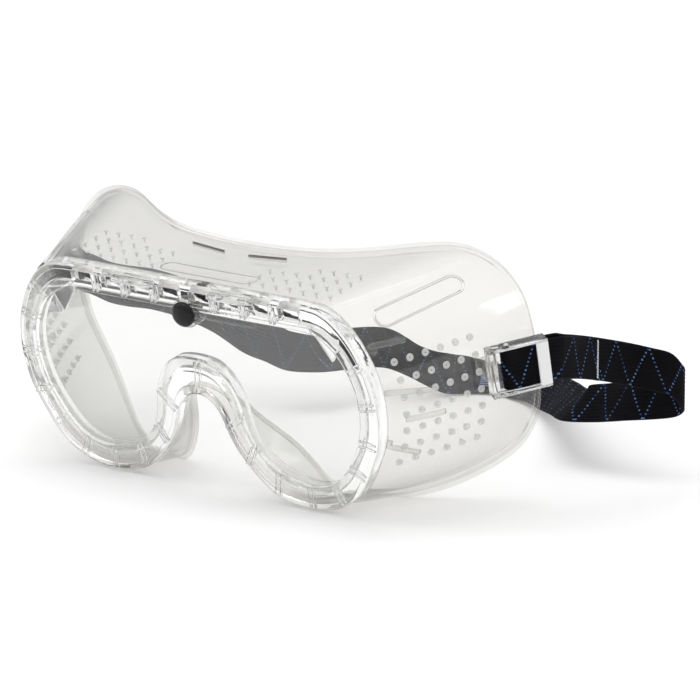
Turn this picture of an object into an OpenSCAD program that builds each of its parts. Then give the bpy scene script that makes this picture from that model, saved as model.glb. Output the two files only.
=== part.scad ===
// Safety goggles: a soft one-piece face frame with a flat lens, held on by an elastic strap.
// Lengths are in millimetres. The goggles lie as they rest on a table, leaning forward on
// their lower edge, with the strap loose behind them. +X is the wearer's left, +Y is the face side.

/* [Frame] */
// Forward lean of the resting goggles, in degrees
lean = 12; // [0:1:15]
// Sideways distance from the middle to the centre of each round half
eye_x = 34.5; // [32:0.5:38]
// Height of those centres above the lower edge of the rim
eye_z = 34; // [32:0.5:36]
// Outside radius of each round half
eye_r = 34; // [32:0.5:36]
// Height of the flat top
top_z = 66.7; // [64:0.1:70]
// Depth of the rim that holds the lens
rim_depth = 5; // [4.5:0.1:7]
// Width of the flange around the lens opening
flange_w = 7; // [5:0.5:8]
// Wall of the soft face skirt
wall = 1.6; // [1.2:0.1:2.4]
// Reach of the skirt behind the rim, at the temples
skirt_reach = 47; // [40:1:52]
// Radius of the skirt where it leaves the rim
skirt_front_r = 33.6; // [32:0.1:34]
// Radius of the skirt at the temples
skirt_back_r = 52.8; // [50:0.1:54]
// Radius of the face that the skirt is cut to
face_r = 119; // [105:1:135]

/* [Nose] */
// Radius of the nose arch
nose_r = 8.6; // [7:0.1:10]
// Height of the arch's centre
nose_z = 22; // [20:0.5:25]
// Radius of the rim around the arch
bridge_r = 16.5; // [15:0.5:19]

/* [Lens] */
// Thickness of the lens sheet
lens_t = 1.5; // [1:0.1:1.6]
// How far the lens reaches into its groove
lens_bite = 2.4; // [1.5:0.1:3]
// Thickness of the lip in front of the lens
front_lip = 1.5; // [1.2:0.1:1.8]
// Height of the top edge of the lens opening
bar_z = 58.5; // [56:0.5:60]
// Inner end of each lens tab, from the middle
tab_in = 10.2; // [9:0.1:12]
// Outer end of each lens tab, from the middle
tab_out = 26.3; // [22:0.1:28]

/* [Stud] */
// Height of the stud that pins the lens
stud_z = 57.4; // [56:0.1:59]
// Radius of the stud's head
stud_head_r = 3.9; // [3:0.1:5]
// Thickness of the head
stud_head_t = 1.9; // [1.2:0.1:2.5]
// Radius of the stud's shank
stud_shank_r = 1.7; // [1.2:0.1:2]

/* [Vents] */
// Pitch of the vent holes
vent_pitch = 5; // [4.5:0.1:6]
// Radius of a vent hole
vent_r = 1.1; // [0.8:0.1:1.4]

/* [Strap] */
// Width of the elastic
strap_w = 13; // [12:0.5:16]
// Thickness of the elastic
strap_t = 1.2; // [1:0.1:1.6]
// Swing of the left buckle away from straight back, in degrees
swing_left = 35; // [22:1:60]
// Swing of the right buckle away from straight back, in degrees
swing_right = 20; // [20:1:60]
// Length of a buckle from its hinge bar to its outer end
buckle_l = 17; // [15:0.5:20]
// Length of elastic folded round each buckle's cross bar, from the hinge
loop_l = 18; // [16:0.5:20]
// Thickness of the stitching that closes each folded end
tack_t = 1; // [0.6:0.1:1.6]

/* [Hidden] */
$fn = 96;

clear_soft = [0.86, 0.89, 0.88, 0.45];
clear_hard = [0.92, 0.94, 0.95, 0.35];
elastic_black = [0.04, 0.04, 0.07];
thread_white = [0.75, 0.77, 0.85];

fit = 0.06;                     // running clearance on a radius
cut = 1;                        // how far a cutter runs past a face
centre = [6.2, 69.3];            // middle of the whole thing, goggles and strap, seen from above
skirt_z = eye_z + 2.1;          // the skirt's axis lies a little above the rim's
groove_front = front_lip - 0.1;
groove_back = front_lip + lens_t + 0.1;
flare = (skirt_back_r - skirt_front_r) / skirt_reach;
flare_angle = atan(flare);
back_y = rim_depth + skirt_reach;
face_y = 18.1;                  // the face's nearest point behind the rim, measured level

gusset_t = 2;
gusset_proud = 1;

hinge_x = 84;
hinge_y = 34.5;
hinge_z = 38;
hinge_bar_r = 1.3;
cross_bar_r = 0.9;
cross_bar_u = 5.2;              // strap bar, measured along the buckle
buckle_in = strap_w / 2 + 0.15; // half the clear height inside the buckle
rail_t = 0.8;
buckle_low = -1.5;
buckle_high = 3.5;
layer_v = cross_bar_r + 0.1 + strap_t / 2;  // middle of a strap layer, off the buckle's plane

// Everything that belongs to the goggles leans with them.
module resting() {
    translate([-centre.x, -centre.y, 0]) rotate([lean, 0, 0]) children();
}

// Stands a flat outline up: its plane becomes XZ and its thickness runs back from y0 to y1.
module upright(y0, y1) {
    translate([0, y1, 0]) rotate([90, 0, 0]) linear_extrude(height = y1 - y0) children();
}

// ---- outlines seen from the front ----

module nose_outline(grow = 0) {
    translate([0, nose_z]) circle(r = nose_r + grow);
    polygon([[-nose_r - grow + 0.3, nose_z - 2], [-10.7 - grow, 16.5], [-15.7 - grow, 10.2], [-22 - grow, 5],
             [-28 - grow, 2], [-34 - grow, 0], [-34 - grow, -20], [34 + grow, -20], [34 + grow, 0],
             [28 + grow, 2], [22 + grow, 5], [15.7 + grow, 10.2], [10.7 + grow, 16.5],
             [nose_r + grow - 0.3, nose_z - 2]]);
}

// The part of the opening that the nose bridge takes away
module bridge_outline(shrink = 0) {
    translate([0, nose_z + 3.5]) circle(r = bridge_r - shrink);
    polygon([[-16.6 + shrink, 26], [-17 + shrink, 20], [-19.5 + shrink, 15.5], [-26 + shrink, 10.8],
             [-36, 7 - shrink], [-36, -10], [36, -10], [36, 7 - shrink], [26 - shrink, 10.8],
             [19.5 - shrink, 15.5], [17 - shrink, 20], [16.6 - shrink, 26]]);
}

module rounds(r) {
    for (side = [-1, 1]) translate([side * eye_x, eye_z]) circle(r = r);
}

module rim_outline() {
    difference() {
        intersection() {
            union() {
                rounds(eye_r);
                translate([-eye_x - 14, eye_z]) square([2 * eye_x + 28, top_z - eye_z]);
            }
            translate([-100, -10]) square([200, 10 + top_z]);
            rounds_hull();
        }
        nose_outline();
    }
}

// Keeps the top corners round
module rounds_hull() {
    rounds(eye_r + 0.01);
    translate([-eye_x, -10]) square([2 * eye_x, 120]);
}

module opening_outline(grow = 0) {
    difference() {
        intersection() {
            union() {
                rounds(eye_r - flange_w + grow);
                translate([-eye_x, eye_z]) square([2 * eye_x, bar_z - eye_z + grow]);
            }
            translate([-100, -10]) square([200, 10 + bar_z + grow]);
        }
        bridge_outline(grow);
    }
}

module tab_outline(grow = 0) {
    for (side = [-1, 1]) {
        x0 = side > 0 ? tab_in - grow : -tab_out - grow;
        translate([x0, bar_z]) square([tab_out - tab_in + 2 * grow, top_z - bar_z + 0.8 + grow]);
    }
}

// ---- rim ----

module window_cuts() {
    for (side = [-1, 1], i = [0:3])
        translate([side * (6.5 + 10.9 * i) - 4, -cut, bar_z + 1.3]) cube([8, cut + 0.8, 4.6]);
}

// Pairs of thin ribs that cross the flange
module flange_ribs() {
    for (side = [-1, 1], i = [0:8])
        translate([side * eye_x, 0, eye_z])
            rotate([0, side * (-38 + 22 * i), 0])
                for (gap = [-1.7, 1.7])
                    translate([side * (eye_r - flange_w + 0.8), -0.5, gap - 0.35])
                        translate([side > 0 ? 0 : -(flange_w - 1.6), 0, 0]) cube([flange_w - 1.6, 0.8, 0.7]);
}

module front_rim() {
    color(clear_soft) resting() difference() {
        union() {
            upright(0, rim_depth) difference() {
                rim_outline();
                opening_outline();
            }
            upright(0, rim_depth) translate([0, stud_z]) circle(r = stud_head_r + 1.4);
            flange_ribs();
        }
        upright(groove_front, groove_back) opening_outline(lens_bite + 0.2);
        upright(groove_front, groove_back) tab_outline(0.2);
        upright(-cut, rim_depth + cut) translate([0, stud_z]) circle(r = stud_shank_r + fit);
        upright(-cut, rim_depth + cut) nose_outline();
        window_cuts();
    }
}

// ---- skirt ----

// The outside of the skirt, shrunk by inset to give the inside
module skirt_body(inset) {
    r0 = skirt_front_r - inset;
    r1 = skirt_back_r - inset;
    difference() {
        union() {
            for (side = [-1, 1])
                translate([side * eye_x, back_y, skirt_z]) rotate([90, 0, 0])
                    cylinder(h = skirt_reach, r1 = r1, r2 = r0);
            translate([-eye_x, rim_depth, skirt_z])
                cube([2 * eye_x, skirt_reach, top_z - inset - skirt_z]);
            translate([-bridge_r, rim_depth, nose_z])
                cube([2 * bridge_r, skirt_reach, skirt_z - nose_z + cut]);
        }
        translate([-100, rim_depth - cut, top_z - inset]) cube([200, skirt_reach + 2 * cut, 40]);
    }
}

// The wearer's face, standing level behind the leaning goggles
module face() {
    rotate([-lean, 0, 0]) translate([0, face_y + face_r, -80]) cylinder(h = 240, r = face_r, $fn = 180);
}

module nose_channel(grow, y0, y1) {
    upright(y0, y1) nose_outline(grow);
    translate([0, y1, nose_z]) rotate([90, 0, 0])
        cylinder(h = y1 - y0, r1 = nose_r + 4 + grow, r2 = nose_r + grow);
}

// Small bars that stiffen the corner between rim and skirt, proud of the skirt's outside
module gussets() {
    intersection() {
        skirt_body(-gusset_proud);
        for (side = [-1, 1], z = [54, 39, 30, 20])
            translate([side > 0 ? eye_x : -eye_x - 50, rim_depth, z - gusset_t / 2]) cube([50, 12, gusset_t]);
    }
}

module top_vents() {
    for (side = [-1, 1], row = [0:3], column = [0:6])
        if (row > 0 || column < 4)
            translate([side * (48.4 - vent_pitch * column), 24.2 - 4.9 * row, top_z - wall - cut])
                cylinder(h = wall + 2 * cut, r = vent_r, $fn = 24);
}

module side_vents() {
    for (side = [-1, 1], row = [0:6], column = [0:5])
        translate([side * 55, 11.4 + 4.55 * column, 48.8 - 5.4 * row]) rotate([0, side * 90, 0])
            cylinder(h = 32, r = vent_r, $fn = 24);
}

module brow_slits() {
    for (side = [-1, 1])
        translate([side * 11.2, 27.3, top_z - wall - cut]) rotate([0, 0, side * 6.5])
            translate([-6.6, -0.45, 0]) cube([13.2, 0.9, wall + 2 * cut]);
}

// Lug on each temple that the buckle's hinge bar turns in
module lug(side) {
    reach = 6;
    translate([side * hinge_x, hinge_y, hinge_z]) {
        translate([0, 0, -2.5]) cylinder(h = 5, r = hinge_bar_r + 1.1, $fn = 48);
        rotate([0, 0, side * flare_angle * -1])
            translate([side > 0 ? -reach : 0, -1.6, -2.5]) cube([reach, 3.2, 5]);
    }
}

module face_skirt() {
    color(clear_soft) resting() difference() {
        union() {
            skirt_body(0);
            gussets();
            intersection() {
                for (side = [-1, 1]) lug(side);
                translate([-120, rim_depth, 0]) cube([240, skirt_reach, top_z]);
            }
        }
        difference() {
            skirt_body(wall);
            nose_channel(wall, rim_depth, back_y);
        }
        nose_channel(0, rim_depth - cut, back_y + cut);
        translate([0, rim_depth - cut, 0]) upright(0, cut + 0.01) opening_outline();
        face();
        top_vents();
        side_vents();
        brow_slits();
        for (side = [-1, 1])
            translate([side * hinge_x, hinge_y, hinge_z - 10])
                cylinder(h = 20, r = hinge_bar_r + fit, $fn = 48);
    }
}

// ---- lens and stud ----

module lens() {
    color(clear_hard) resting() upright(front_lip, front_lip + lens_t) difference() {
        union() {
            opening_outline(lens_bite);
            tab_outline();
            translate([0, stud_z]) circle(r = stud_shank_r + 2);
        }
        translate([0, stud_z]) circle(r = stud_shank_r + 0.3);
    }
}

module lens_stud() {
    tip = 1.6;
    color("black") resting() translate([0, 0, stud_z]) rotate([90, 0, 0]) {
        translate([0, 0, 0.05]) cylinder(h = stud_head_t, r = stud_head_r, $fn = 64);
        translate([0, 0, -rim_depth - tip]) cylinder(h = rim_depth + tip + 0.06, r = stud_shank_r, $fn = 48);
    }
}

// ---- buckles and strap ends, in the buckle's own directions ----

// Places children at a temple: along the buckle, out from the face, and up
module at_buckle(side) {
    swing = side > 0 ? swing_left : swing_right;
    resting() translate([side * hinge_x, hinge_y, hinge_z]) rotate([0, 0, 90 - side * swing])
        mirror([0, side > 0 ? 1 : 0, 0]) children();
}

module buckle(side) {
    rail_l = buckle_l + hinge_bar_r;
    deep = buckle_high - buckle_low;
    color(clear_hard) at_buckle(side) {
        for (end = [-1, 1])
            translate([-hinge_bar_r, buckle_low, end > 0 ? buckle_in : -buckle_in - rail_t])
                cube([rail_l, deep, rail_t]);
        translate([0, 0, -buckle_in - 0.1]) cylinder(h = 2 * buckle_in + 0.2, r = hinge_bar_r, $fn = 48);
        translate([cross_bar_u, 0, -buckle_in - 0.1])
            cylinder(h = 2 * buckle_in + 0.2, r = cross_bar_r, $fn = 32);
        translate([buckle_l - 3.4, layer_v + strap_t / 2 + 0.2, -buckle_in - 0.1])
            cube([3.4, 1.1, 2 * buckle_in + 0.2]);
    }
}

// The elastic where it folds round the cross bar
module strap_loop(side) {
    fold_r = layer_v + strap_t / 2;
    run = loop_l - cross_bar_u;
    color(elastic_black) at_buckle(side) translate([0, 0, -strap_w / 2])
        linear_extrude(height = strap_w) difference() {
            union() {
                translate([cross_bar_u, 0]) circle(r = fold_r, $fn = 48);
                translate([cross_bar_u, -fold_r]) square([run, 2 * fold_r]);
            }
            translate([cross_bar_u, 0]) circle(r = cross_bar_r + 0.1, $fn = 48);
            translate([cross_bar_u, -cross_bar_r - 0.1]) square([run + cut, 2 * cross_bar_r + 0.2]);
        }
}

// ---- free strap ----

// Hand-placed points along the strap's lower edge, from the left buckle round to the right one.
// Each is x, y, z and how far the band leans to the right of its way, in degrees.
route = [[93.2, 42.8, 41.3, 7], [93.6, 47, 40, 5], [93.4, 55, 38, 0], [93.4, 64, 35.6, 0],
         [95.4, 77, 31.8, 0], [100.5, 82, 30, 0], [105, 86, 28.3, 0], [106.6, 89, 25, 0],
         [105.6, 91.8, 22, 0], [102.5, 92, 20, 0], [96.5, 89.3, 18.8, 8], [88.8, 86.8, 17.6, 20],
         [77.4, 86, 15.3, 38], [66, 86, 13.8, 46], [52, 99, 10.8, 42], [40, 113, 6.8, 32],
         [28, 126, 3.3, 25], [15.7, 136.5, 1.3, 38], [5.8, 141, 0, 55], [-2, 141.5, 0, 58],
         [-8.5, 137.5, 0, 35], [-12, 131.5, 1, 5], [-17.8, 129.2, 3, -10], [-23.3, 126.1, 6, -10],
         [-27.5, 120.8, 9, 5], [-28.5, 110, 11, 20], [-29, 100, 12, 35], [-32, 91.5, 12.5, 42],
         [-40, 86, 13, 32], [-46, 82.3, 16, 8], [-50, 76.5, 19.5, 0], [-54.5, 67.5, 27, 0],
         [-60, 58.5, 32.5, 0], [-67, 53.5, 35, 0], [-75, 51.5, 35.2, 0], [-83, 52.5, 35, 0],
         [-90, 54.3, 35.5, 0], [-91.8, 50, 38, 2], [-88.8, 44.6, 41.7, 4]];
last = len(route) - 1;
steps = 2;        // rings for each stretch between two points
left_end = 10;    // the point where the left run meets the back run
right_end = 30;   // the point where the back run meets the right run
left_fold = 3;    // how many points the left folded end reaches from its buckle
right_fold = 1.5;
loop_gap = 0.2;   // how far the right folded end stays from its loop
tack_in = 0.6;    // how far the stitching stays from the end of the fold
tack_proud = 0.3;

// The smooth curve through the route, at a point number that may be a fraction
function along(at) =
    let (i = min(floor(at), last - 1), t = at - i,
         a = route[max(i - 1, 0)], b = route[i], c = route[i + 1], d = route[min(i + 2, last)])
    (2 * b + (c - a) * t + (2 * a - 5 * b + 4 * c - d) * t * t + (3 * b - 3 * c + d - a) * t * t * t) / 2;

function place(at) = let (p = along(at)) [p.x, p.y, max(p.z, 0)];

// Offset of the folded end's middle from the strap's middle: wide at the buckle, closed at the stitching
function fold_gap(at) =
    let (away = min(at / left_fold, (last - at) / right_fold, 1))
    (1 - away) * 2 * layer_v + away * (strap_t + 0.05);

// Four corners across the band at one point, between two distances outward from its middle:
// lower near, lower far, upper far, upper near. An inset shortens it at both edges.
function corners(at, near, far, inset) =
    let (ahead = place(min(at + 0.1, last)) - place(max(at - 0.1, 0)), tilt = along(at)[3],
         right = [ahead.y, -ahead.x, 0] / norm([ahead.x, ahead.y]),
         up = [0, 0, cos(tilt)] + sin(tilt) * right, face = cross(ahead, up), out = face / norm(face),
         low = place(at) + [0, 0, abs(out.z) * strap_t / 2] + inset * up, high = low + (strap_w - 2 * inset) * up)
    [low + near * out, low + far * out, high + far * out, high + near * out];

module sweep(rings) {
    count = len(rings) - 1;
    sides = [for (i = [0:count - 1], k = [0:3])
             let (a = 4 * i + k, b = 4 * i + (k + 1) % 4)
             each [[a, b, a + 4], [b, b + 4, a + 4]]];
    ends = [[2, 1, 0], [3, 2, 0], [4 * count, 4 * count + 1, 4 * count + 2],
            [4 * count, 4 * count + 2, 4 * count + 3]];
    translate([-centre.x, -centre.y, 0])
        polyhedron(points = [for (ring = rings) each ring], faces = concat(sides, ends));
}

module ribbon(first, end) {
    color(elastic_black)
        sweep([for (i = [0:(end - first) * steps]) corners(first + i / steps, -strap_t / 2, strap_t / 2, 0)]);
}

// The elastic's cut end, folded back over the outside of the strap
module strap_end(side) {
    first = side > 0 ? 0 : last - right_fold;
    reach = side > 0 ? left_fold : right_fold;
    color(elastic_black)
        sweep([for (i = [0:reach * steps])
               let (at = min(first + i / steps, last - loop_gap), gap = fold_gap(at))
               corners(at, gap - strap_t / 2, gap + strap_t / 2, 0)]);
}

function tack_ring(at) = let (face = fold_gap(at) + strap_t / 2 + 0.02) corners(at, face, face + tack_proud, 0.4);

// A row of stitching across the folded end's outer face
module bar_tack(side) {
    first = side > 0 ? left_fold - 1 / steps : last - right_fold;
    a = tack_ring(first);
    b = tack_ring(first + 1 / steps);
    stretch = norm(b[1] - a[1]);
    start = side > 0 ? stretch - tack_in - tack_t : tack_in;
    color(thread_white) sweep([for (at = [start, start + tack_t]) a + (b - a) * at / stretch]);
}

front_rim();
face_skirt();
lens();
lens_stud();
buckle(1);  // buckle_left
buckle(-1);  // buckle_right
strap_loop(1);  // strap_loop_left
strap_loop(-1);  // strap_loop_right
strap_end(1);  // strap_end_left
strap_end(-1);  // strap_end_right
bar_tack(1);  // bar_tack_left
bar_tack(-1);  // bar_tack_right
ribbon(0, left_end);  // strap_left
ribbon(left_end, right_end);  // strap_back
ribbon(right_end, last);  // strap_right
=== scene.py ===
import bpy
import bmesh
import math
from mathutils import Matrix, Vector
from mathutils.bvhtree import BVHTree


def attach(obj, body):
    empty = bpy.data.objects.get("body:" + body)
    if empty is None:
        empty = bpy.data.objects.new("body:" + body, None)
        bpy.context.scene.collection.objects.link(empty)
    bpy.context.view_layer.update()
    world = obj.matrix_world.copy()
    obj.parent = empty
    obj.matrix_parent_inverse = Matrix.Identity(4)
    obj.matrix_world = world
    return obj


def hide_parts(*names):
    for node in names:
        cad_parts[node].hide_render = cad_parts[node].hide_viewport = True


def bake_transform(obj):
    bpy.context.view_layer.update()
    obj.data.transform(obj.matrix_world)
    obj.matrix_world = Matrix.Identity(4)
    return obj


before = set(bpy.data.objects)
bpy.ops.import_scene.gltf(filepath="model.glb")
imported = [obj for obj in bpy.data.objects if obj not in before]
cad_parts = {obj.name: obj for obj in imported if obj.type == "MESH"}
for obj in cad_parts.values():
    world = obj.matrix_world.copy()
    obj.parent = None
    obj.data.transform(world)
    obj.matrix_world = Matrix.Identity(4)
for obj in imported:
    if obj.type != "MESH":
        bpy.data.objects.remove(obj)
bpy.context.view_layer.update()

# The goggles' own millimetres: x to the wearer's left, y from the lens to the face, z up the lens
placing = {"lean": 12, "centre": (6.2, 69.3)}
leaned = Matrix.Rotation(math.radians(placing["lean"]), 4, "X")
moved = Matrix.Translation((-placing["centre"][0], -placing["centre"][1], 0))
toFrame = Matrix.Scale(0.001, 4) @ moved @ leaned
toFrameFlat = Matrix.Scale(0.001, 4) @ moved    # for the strap, which lies level


def curvePoint(points, at, closed=False):
    count = len(points)
    i = math.floor(at)
    if not closed:
        i = min(max(i, 0), count - 2)
    t = at - i

    def pick(k):
        return points[k % count] if closed else points[min(max(k, 0), count - 1)]

    around = zip(pick(i - 1), pick(i), pick(i + 1), pick(i + 2))
    return tuple((2 * q + (r - p) * t + (2 * p - 5 * q + 4 * r - s) * t * t
                  + (3 * q - 3 * r + s - p) * t ** 3) / 2 for p, q, r, s in around)


def closedCurve(points, steps):
    # A smooth loop through the points, with so many steps from each to the next
    return [curvePoint(points, i / steps, True) for i in range(len(points) * steps)]


def inScene(name, data):
    obj = bpy.data.objects.new(name, data)
    bpy.context.scene.collection.objects.link(obj)
    return obj


def makeObject(name, verts, faces, material, matrix=toFrame, smooth=True):
    mesh = bpy.data.meshes.new(name)
    mesh.from_pydata([tuple(v) for v in verts], [], faces)
    mesh.update()
    obj = inScene(name, mesh)
    obj.data.transform(matrix)
    if matrix.determinant() < 0:
        obj.data.flip_normals()
    tidyNormals(obj)
    if smooth:
        obj.data.shade_smooth()
    obj.data.materials.append(material)
    return obj


def tidyNormals(obj):
    bm = bmesh.new()
    bm.from_mesh(obj.data)
    bmesh.ops.recalc_face_normals(bm, faces=bm.faces)
    bm.to_mesh(obj.data)
    bm.free()


def gridFaces(rings, sides, closed=False):
    # Faces between rings of points, where closed joins the last ring to the first
    faces = []
    for r in range(rings if closed else rings - 1):
        for c in range(sides):
            r2, c2 = (r + 1) % rings, (c + 1) % sides
            faces.append((r * sides + c, r * sides + c2, r2 * sides + c2, r2 * sides + c))
    return faces


def cappedFaces(rings, sides):
    ends = [tuple(range(sides - 1, -1, -1)), tuple((rings - 1) * sides + c for c in range(sides))]
    return gridFaces(rings, sides) + ends


def applyModifiers(obj):
    deps = bpy.context.evaluated_depsgraph_get()
    mesh = bpy.data.meshes.new_from_object(obj.evaluated_get(deps))
    obj.modifiers.clear()
    old = obj.data
    obj.data = mesh
    bpy.data.meshes.remove(old)


def discard(obj):
    mesh = obj.data
    bpy.data.objects.remove(obj)
    bpy.data.meshes.remove(mesh)


def combine(target, tool, operation):
    cutter = target.modifiers.new("combine", "BOOLEAN")
    cutter.operation = operation
    cutter.object = tool
    cutter.solver = "MANIFOLD"
    cutter.material_mode = "TRANSFER"
    applyModifiers(target)
    discard(tool)


def sharpen(obj, angle):
    obj.data.shade_smooth()
    obj.data.set_sharp_from_angle(angle=math.radians(angle))


def bevelled(obj, width, segments):
    bevel = obj.modifiers.new("bevel", "BEVEL")
    bevel.width = width * 0.001
    bevel.segments = segments
    bevel.limit_method = "ANGLE"
    bevel.angle_limit = math.radians(40)
    bevel.use_clamp_overlap = True
    applyModifiers(obj)


def joined(objects):
    # One object out of several, which keeps the finish of every face and the UV map
    first = objects[0]
    finishes = []
    bm = bmesh.new()
    for obj in objects:
        start = len(bm.faces)
        bm.from_mesh(obj.data)
        bm.faces.ensure_lookup_table()
        for face in bm.faces[start:]:
            finish = obj.data.materials[face.material_index]
            if finish not in finishes:
                finishes.append(finish)
            face.material_index = finishes.index(finish)
    first.data.materials.clear()
    for finish in finishes:
        first.data.materials.append(finish)
    bm.to_mesh(first.data)
    bm.free()
    for obj in objects[1:]:
        discard(obj)
    return first


def boxMesh(low, high):
    verts = [(x, y, z) for x in (low[0], high[0]) for y in (low[1], high[1]) for z in (low[2], high[2])]
    faces = [(0, 1, 3, 2), (4, 6, 7, 5), (0, 4, 5, 1), (2, 3, 7, 6), (0, 2, 6, 4), (1, 5, 7, 3)]
    return verts, faces


def frameAt(place, up, along):
    # A matrix whose z is up and whose x lies as near as it can to along
    z = Vector(up).normalized()
    x = Vector(along) - z * Vector(along).dot(z)
    x.normalize()
    y = z.cross(x)
    out = Matrix((x, y, z)).transposed().to_4x4()
    out.translation = Vector(place)
    return out


def lathe(profile, turns):
    # profile is (radius, height) from the axis out and back to the axis
    inner = profile[1:-1]
    circle = [(math.cos(2 * math.pi * k / turns), math.sin(2 * math.pi * k / turns)) for k in range(turns)]
    verts = [(0, 0, profile[0][1])] + [(r * x, r * y, h) for r, h in inner for x, y in circle]
    verts.append((0, 0, profile[-1][1]))
    faces = []
    end = len(verts) - 1
    for k in range(turns):
        k2 = (k + 1) % turns
        faces.append((0, 1 + k2, 1 + k))
        for row in range(len(inner) - 1):
            a, b = 1 + row * turns, 1 + (row + 1) * turns
            faces.append((a + k, a + k2, b + k2, b + k))
        a = 1 + (len(inner) - 1) * turns
        faces.append((a + k, a + k2, end))
    return verts, faces


def ringMesh(radius, wire, proud, turns, sides):
    # A small rounded ring that stands up from a surface
    verts = []
    for k in range(turns):
        a = 2 * math.pi * k / turns
        for s in range(sides):
            b = 2 * math.pi * s / sides
            r = radius + wire * math.cos(b)
            verts.append((r * math.cos(a), r * math.sin(a), proud * math.sin(b)))
    return verts, gridFaces(turns, sides, True)


def manyOf(places, verts, faces):
    # The same mesh at every place, as one mesh
    allVerts, allFaces = [], []
    for place in places:
        start = len(allVerts)
        allVerts += [place @ Vector(v) for v in verts]
        allFaces += [tuple(start + i for i in f) for f in faces]
    return allVerts, allFaces


def tubeAlong(path, width, height, sides=10, closed=True):
    # A half-round bead on a surface, along (place, up) pairs: width across it and height above it
    verts = []
    count = len(path)
    for i, (p, up) in enumerate(path):
        before = path[(i - 1) % count if closed else max(i - 1, 0)][0]
        after = path[(i + 1) % count if closed else min(i + 1, count - 1)][0]
        up = Vector(up).normalized()
        side = (after - before).normalized().cross(up).normalized()
        for s in range(sides):
            a = 2 * math.pi * s / sides
            verts.append(p + side * width / 2 * math.cos(a) + up * height * math.sin(a))
    return verts, gridFaces(count, sides, True) if closed else cappedFaces(count, sides)


class Nodes:
    # A material with its shader nodes, added one call at a time
    def __init__(self, name):
        self.material = bpy.data.materials.new(name)
        self.material.use_nodes = True
        self.tree = self.material.node_tree
        self.tree.nodes.clear()
        self.out = self.tree.nodes.new("ShaderNodeOutputMaterial")

    def add(self, kind, values=None, **settings):
        node = self.tree.nodes.new("ShaderNode" + kind)
        for key, value in settings.items():
            setattr(node, key, value)
        for key, value in (values or {}).items():
            if isinstance(value, bpy.types.NodeSocket):
                self.tree.links.new(value, node.inputs[key])
            else:
                node.inputs[key].default_value = value
        return node

    def math(self, operation, a, b=0.0):
        return self.add("Math", {0: a, 1: b}, operation=operation).outputs[0]

    def plus(self, a, b):
        return self.math("ADD", a, b)

    def times(self, a, b):
        return self.math("MULTIPLY", a, b)

    def ramp(self, value, stops):
        node = self.add("ValToRGB", {0: value})
        ramp = node.color_ramp
        while len(ramp.elements) > 1:
            ramp.elements.remove(ramp.elements[-1])
        ramp.elements[0].position, ramp.elements[0].color = stops[0]
        for place, colour in stops[1:]:
            ramp.elements.new(place).color = colour
        return node.outputs[0]

    def noise(self, scale, detail, stretch=(1, 1, 1)):
        where = self.add("TexCoord").outputs["Object"]
        mapped = self.add("Mapping", {"Vector": where, "Scale": stretch}).outputs[0]
        return self.add("TexNoise", {"Vector": mapped, "Scale": scale, "Detail": detail}).outputs[0]

    def mix(self, share, first, second):
        return self.add("Mix", {0: share, 6: first, 7: second}, data_type="RGBA").outputs[2]

    def bump(self, strength, distance, height):
        return self.add("Bump", {"Strength": strength, "Distance": distance, "Height": height}).outputs[0]

    def finish(self, shader):
        self.tree.links.new(shader, self.out.inputs["Surface"])
        return self.material


def grey(value):
    return (value, value, value, 1)


# Tint seen square on and edge on, milkiness likewise, and how solid the milk is. The lens and skirt milk is
# real haze; the high milk of the nubs and the buckle's end bar is also painted reflection that whitens them
thinFinish = {
    "lens": {"tint": (0.955, 0.957, 0.95, 1), "edge": (0.42, 0.45, 0.46, 1),
             "milkAndPaintedShine": 0.05, "milkEdge": 0.05, "solid": 0.5, "roughness": 0.02, "waves": 0.02},
    "skirt": {"tint": (0.918, 0.914, 0.902, 1), "edge": (0.42, 0.42, 0.41, 1),
              "milkAndPaintedShine": 0.02, "milkEdge": 0.16, "solid": 0.5, "roughness": 0.09, "waves": 0.06},
    # The nubs' milk is partly painted reflection, whitening the clear rings where they glint
    "nub": {"tint": (0.93, 0.93, 0.92, 1), "edge": (0.4, 0.41, 0.41, 1),
            "milkAndPaintedShine": 0.5, "milkEdge": 0.2, "solid": 0.5, "roughness": 0.2, "waves": 0.05},
    # The end bar's near-solid white milk is mostly painted reflection, for the light the clear bar throws
    # back
    "end": {"tint": (0.97, 0.97, 0.97, 1), "edge": (0.7, 0.7, 0.71, 1),
            "milkAndPaintedShine": 0.85, "milkEdge": 0.1, "solid": 0.95, "roughness": 0.05, "waves": 0.03},
}
sheetLook = {"wave": 90, "grain": 900, "grainShare": 0.12, "scuff": 260, "edgePower": 3.5,
             "mirrorPower": 5.0, "mirrorEdge": 0.9, "mirrorFace": 0.045}


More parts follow.
